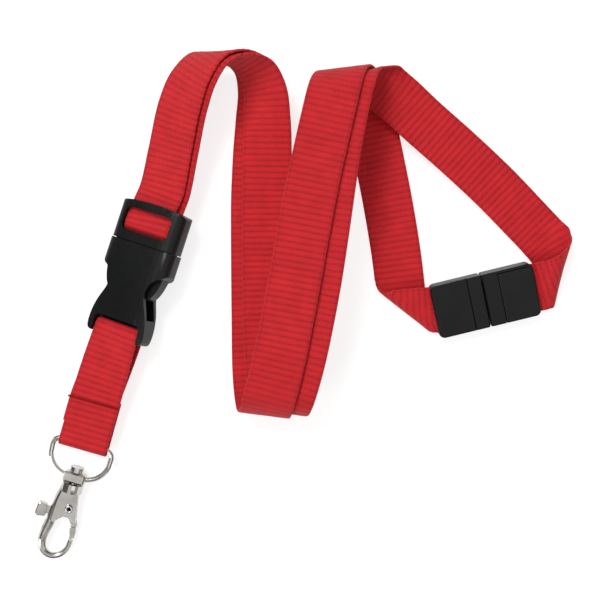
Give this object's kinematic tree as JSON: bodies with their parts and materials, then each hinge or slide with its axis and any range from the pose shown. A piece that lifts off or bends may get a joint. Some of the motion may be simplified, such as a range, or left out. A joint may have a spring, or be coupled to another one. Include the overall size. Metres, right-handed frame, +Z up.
{
  "type": "neck lanyard",
  "caption": "Red ribbed neck lanyard folded up on a table, with a side-release buckle, a safety breakaway, a D-ring and a swivelling trigger hook.",
  "frame": {"origin": "middle of the laid-out lanyard's bounding box, on the table it lies on", "axes": "+Z up off the table; +Y from the hook's end towards the buckle's neck webbing; +X from the buckle side towards the breakaway"},
  "size_m": [0.2166, 0.2042, 0.0325],
  "materials": {
    "webbing": "cross-ribbed polyester webbing",
    "thread": "sewn polyester thread",
    "black_plastic": "fine moulded texture",
    "nickel": "polished nickel plate over a casting",
    "spring_steel": "plain drawn wire and rivet"
  },
  "bodies": {
    "lanyard": {"neck_strap": "webbing", "plug_body": "black_plastic", "breakaway_socket": "black_plastic", "breakaway_socket_cover": "black_plastic"},
    "prong_left": {"plug_prong_left": "black_plastic"},
    "prong_right": {"plug_prong_right": "black_plastic"},
    "socket": {"socket_body": "black_plastic", "short_strap": "webbing", "short_strap_stitching": "thread"},
    "ring": {"clasp_ring": "nickel"},
    "hook": {"hook_body": "nickel", "gate_pin": "spring_steel", "gate_spring": "spring_steel"},
    "gate": {"hook_gate": "nickel"},
    "breakaway": {"breakaway_plug": "black_plastic", "breakaway_plug_cover": "black_plastic", "neck_strap_end": "webbing"}
  },
  "joints": [
    {"name": "prong_left_squeeze", "type": "hinge", "parent": "lanyard", "child": "prong_left", "pos_m": [-0.07293, 0.02671, 0.00545], "axis": [-0.3253, 0.1057, 0.9397], "range_deg": [0, 6], "stiffness_Nm_per_rad": 0.02},
    {"name": "prong_right_squeeze", "type": "hinge", "parent": "lanyard", "child": "prong_right", "pos_m": [-0.05255, 0.02009, 0.01325], "axis": [0.3253, -0.1057, -0.9397], "range_deg": [0, 6], "stiffness_Nm_per_rad": 0.02},
    {"name": "buckle_release", "type": "slide", "parent": "lanyard", "child": "socket", "axis": [-0.309, -0.9511, 0], "range_m": [0, 0.026]},
    {"name": "ring_tilt", "type": "hinge", "parent": "socket", "child": "ring", "pos_m": [-0.08823, -0.05514, 0.00559], "axis": [-0.9613, 0.2756, 0], "range_deg": [-80, 80]},
    {"name": "hook_swivel", "type": "hinge", "parent": "ring", "child": "hook", "pos_m": [-0.09214, -0.06876, 0.00465], "axis": [0.275, 0.9591, 0.0663], "continuous": true},
    {"name": "gate_open", "type": "hinge", "parent": "hook", "child": "gate", "pos_m": [-0.09446, -0.08116, 0.00365], "axis": [-0.1157, 0.1015, -0.9881], "range_deg": [0, 25], "stiffness_Nm_per_rad": 0.01},
    {"name": "breakaway_release", "type": "slide", "parent": "lanyard", "child": "breakaway", "axis": [0.972, 0.2351, 0], "range_m": [0, 0.012]}
  ]
}
